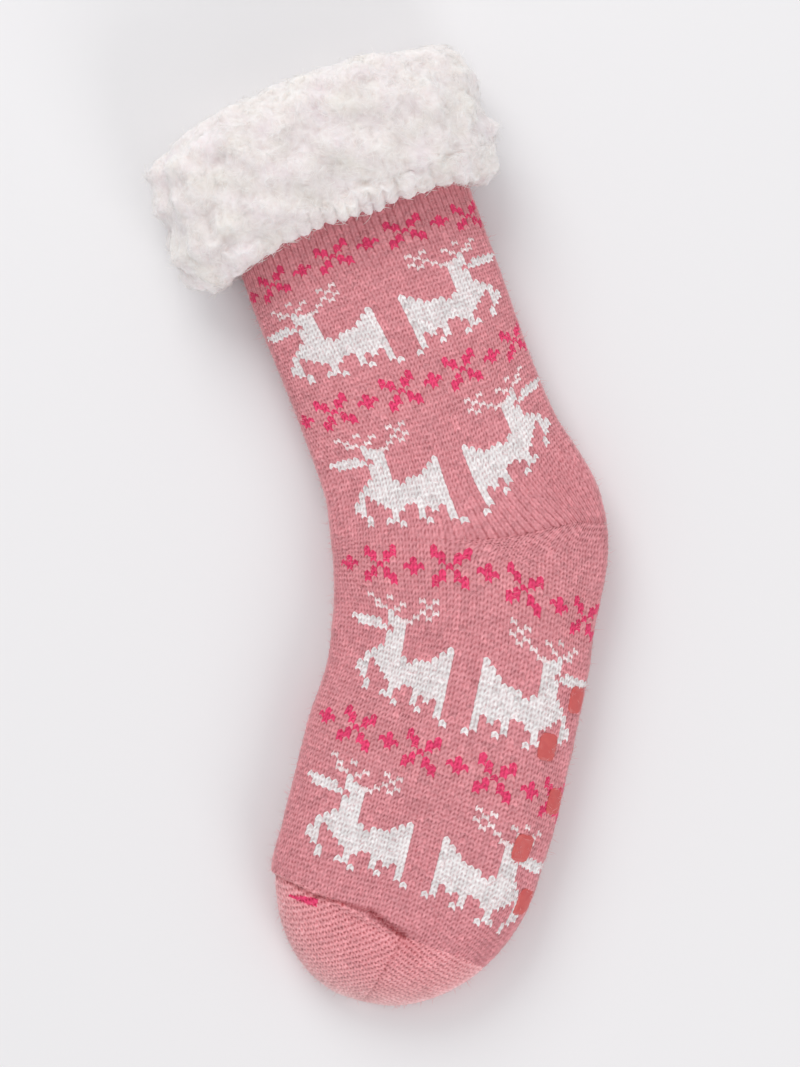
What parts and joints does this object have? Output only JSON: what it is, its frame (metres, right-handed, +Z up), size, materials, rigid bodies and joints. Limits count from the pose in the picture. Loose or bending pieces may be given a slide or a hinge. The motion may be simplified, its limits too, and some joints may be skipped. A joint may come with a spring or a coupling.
{
  "type": "slipper sock",
  "caption": "Long knitted slipper sock, fleece lined, with a deep fleece cuff and rubber grips on the sole, lying on its side.",
  "frame": {"origin": "on the floor, under the middle of the sock's box", "axes": "+Z is up, out of the side that the sock doesn't lie on; +Y runs from the toe to the cuff; +X points from the instep to the sole"},
  "size_m": [0.1976, 0.4136, 0.0603],
  "materials": {
    "rose_knit": "soft knitted yarn, rose pink",
    "white_fleece": "deep curly pile, warm white",
    "coral_rubber": "smooth soft rubber, coral"
  },
  "bodies": {
    "root": {"knit_sock": "rose_knit", "fleece_cuff": "white_fleece", "grip_01": "coral_rubber", "grip_02": "coral_rubber", "grip_03": "coral_rubber", "grip_04": "coral_rubber", "grip_05": "coral_rubber", "grip_06": "coral_rubber", "grip_07": "coral_rubber", "grip_08": "coral_rubber", "grip_09": "coral_rubber", "grip_10": "coral_rubber", "grip_11": "coral_rubber", "grip_12": "coral_rubber"}
  },
  "joints": []
}
